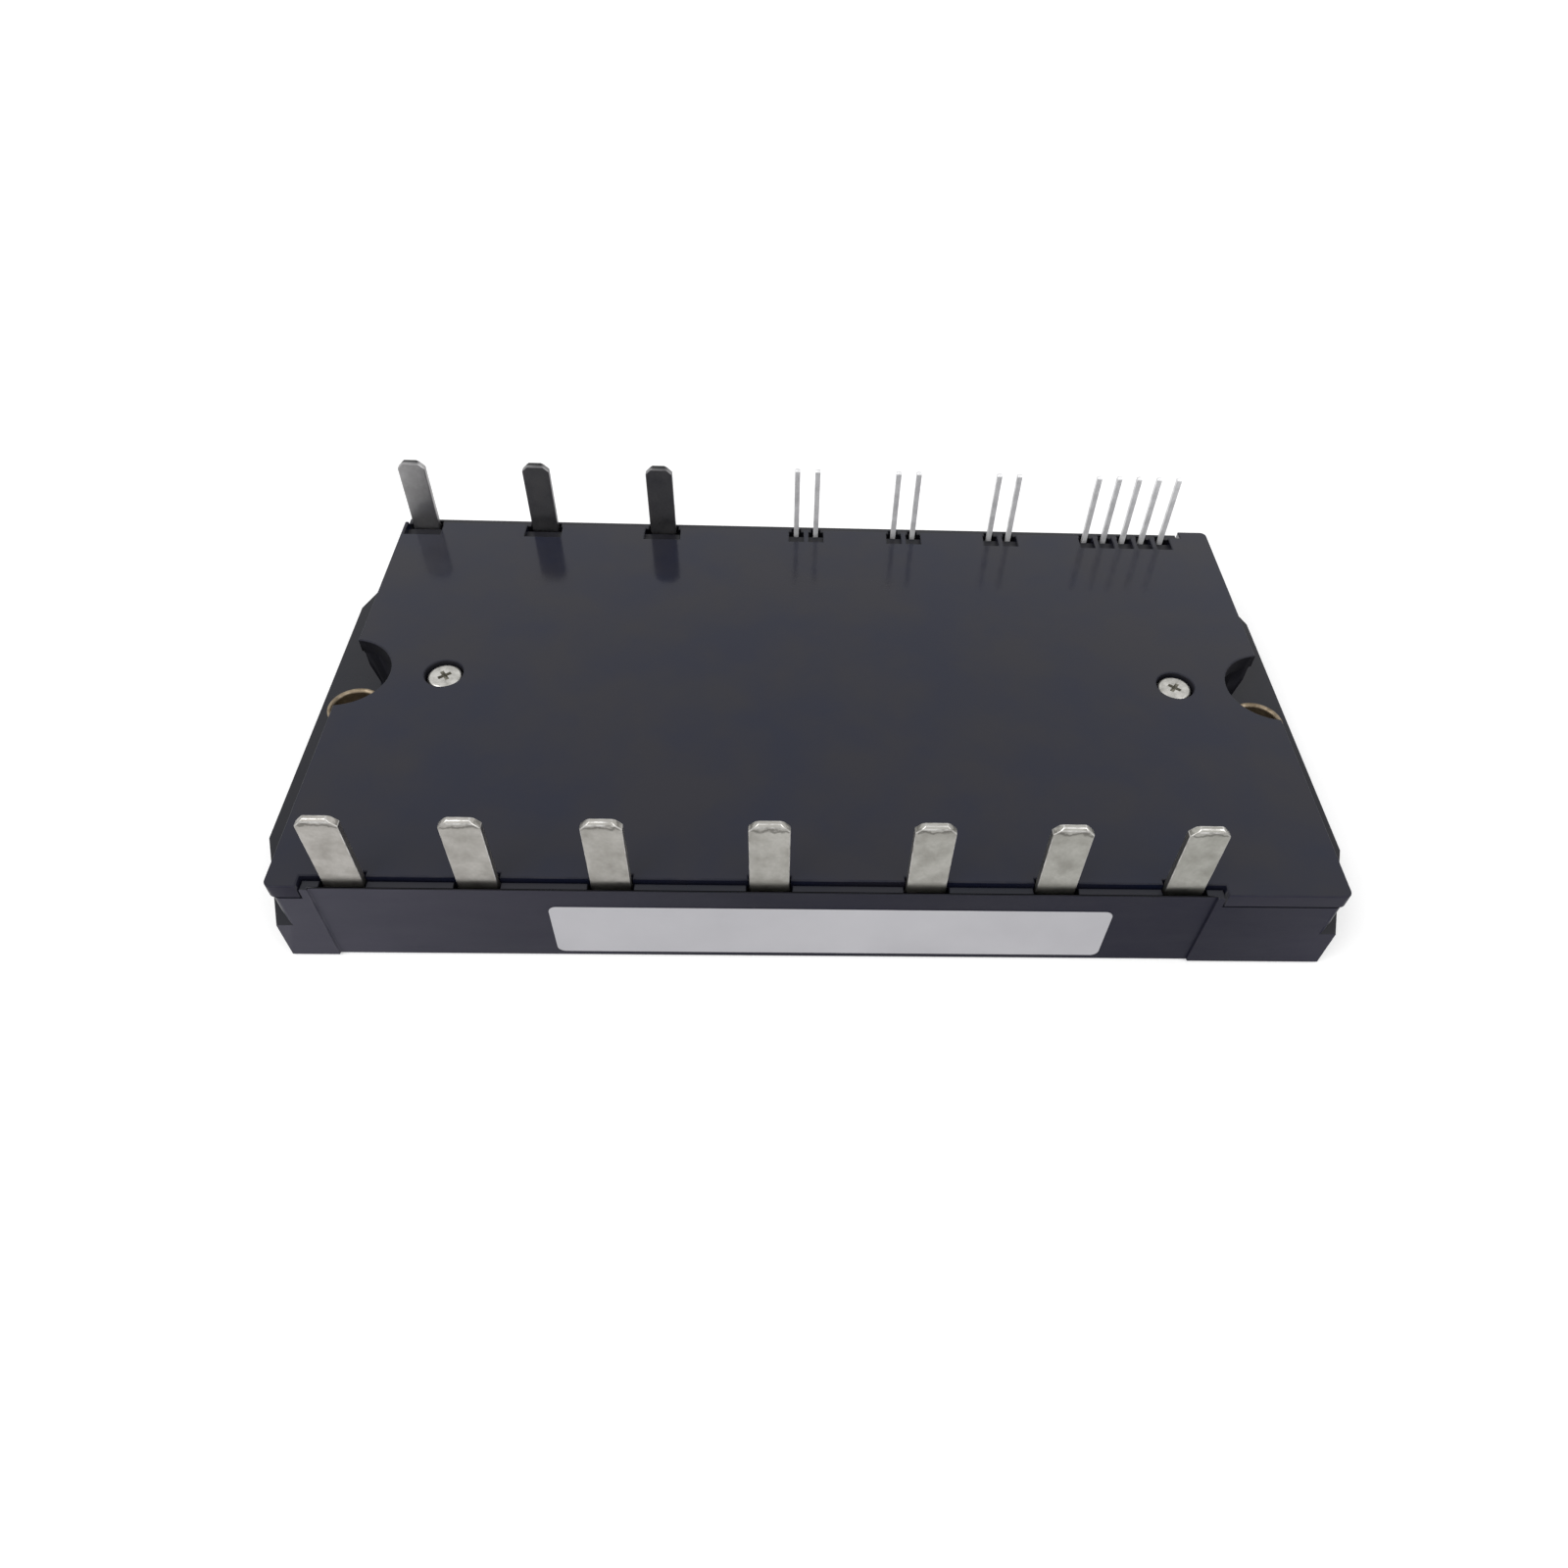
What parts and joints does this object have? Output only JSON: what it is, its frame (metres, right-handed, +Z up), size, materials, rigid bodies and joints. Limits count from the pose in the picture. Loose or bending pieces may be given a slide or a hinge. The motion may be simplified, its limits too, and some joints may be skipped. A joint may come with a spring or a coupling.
{
  "type": "igbt power module",
  "caption": "Flat black power semiconductor module with upright blade terminals and thin signal pins along its long edges, a blank label, a screwed lid and a bushed mounting ear at each end.",
  "frame": {"origin": "middle of the mounting face, halfway between the two mounting holes", "axes": "+X along the length, -Y towards the edge with the label and the long row of blades, +Z up from the mounting face"},
  "size_m": [0.1146, 0.06, 0.0206],
  "materials": {
    "case_plastic": "satin moulded black plastic",
    "lid_plastic": "semi-gloss moulded black plastic",
    "zinc_steel": "zinc-plated, slightly dull",
    "bush_brass": "dull turned brass",
    "tinned_copper": "tin-plated, mottled satin",
    "tinned_pin": "tin-plated, bright",
    "label_film": "satin silver-grey film, blank",
    "nickel_plate": "nickel-plated, fine rolled grain",
    "adhesive": "cured silicone adhesive",
    "solder": "dull solder",
    "bare_copper": "etched copper",
    "ceramic": "fired ceramic",
    "silicon": "metallised chip",
    "aluminium_wire": "drawn aluminium wire",
    "gel": "soft clear potting gel"
  },
  "bodies": {
    "root": {"case": "case_plastic", "lid": "lid_plastic", "lid_screw_left": "zinc_steel", "lid_screw_right": "zinc_steel", "mounting_bush_left": "bush_brass", "mounting_bush_right": "bush_brass", "front_blade_1": "tinned_copper", "front_blade_2": "tinned_copper", "front_blade_3": "tinned_copper", "front_blade_4": "tinned_copper", "front_blade_5": "tinned_copper", "front_blade_6": "tinned_copper", "front_blade_7": "tinned_copper", "back_blade_1": "tinned_copper", "back_blade_2": "tinned_copper", "back_blade_3": "tinned_copper", "signal_pin_1": "tinned_pin", "signal_pin_2": "tinned_pin", "signal_pin_3": "tinned_pin", "signal_pin_4": "tinned_pin", "signal_pin_5": "tinned_pin", "signal_pin_6": "tinned_pin", "signal_pin_7": "tinned_pin", "signal_pin_8": "tinned_pin", "signal_pin_9": "tinned_pin", "signal_pin_10": "tinned_pin", "signal_pin_11": "tinned_pin", "label": "label_film", "base_plate": "nickel_plate", "base_adhesive": "adhesive", "substrate_solder": "solder", "substrate_lower_copper": "bare_copper", "substrate_ceramic": "ceramic", "substrate_tracks": "bare_copper", "igbt_chip_1": "silicon", "igbt_chip_2": "silicon", "igbt_chip_3": "silicon", "igbt_chip_4": "silicon", "igbt_chip_5": "silicon", "igbt_chip_6": "silicon", "igbt_chip_7": "silicon", "freewheel_diode_1": "silicon", "freewheel_diode_2": "silicon", "freewheel_diode_3": "silicon", "freewheel_diode_4": "silicon", "freewheel_diode_5": "silicon", "freewheel_diode_6": "silicon", "freewheel_diode_7": "silicon", "rectifier_diode_1": "silicon", "rectifier_diode_2": "silicon", "rectifier_diode_3": "silicon", "rectifier_diode_4": "silicon", "rectifier_diode_5": "silicon", "rectifier_diode_6": "silicon", "chip_solder": "solder", "terminal_wires": "aluminium_wire", "chip_wires": "aluminium_wire", "silicone_gel": "gel"}
  },
  "joints": []
}
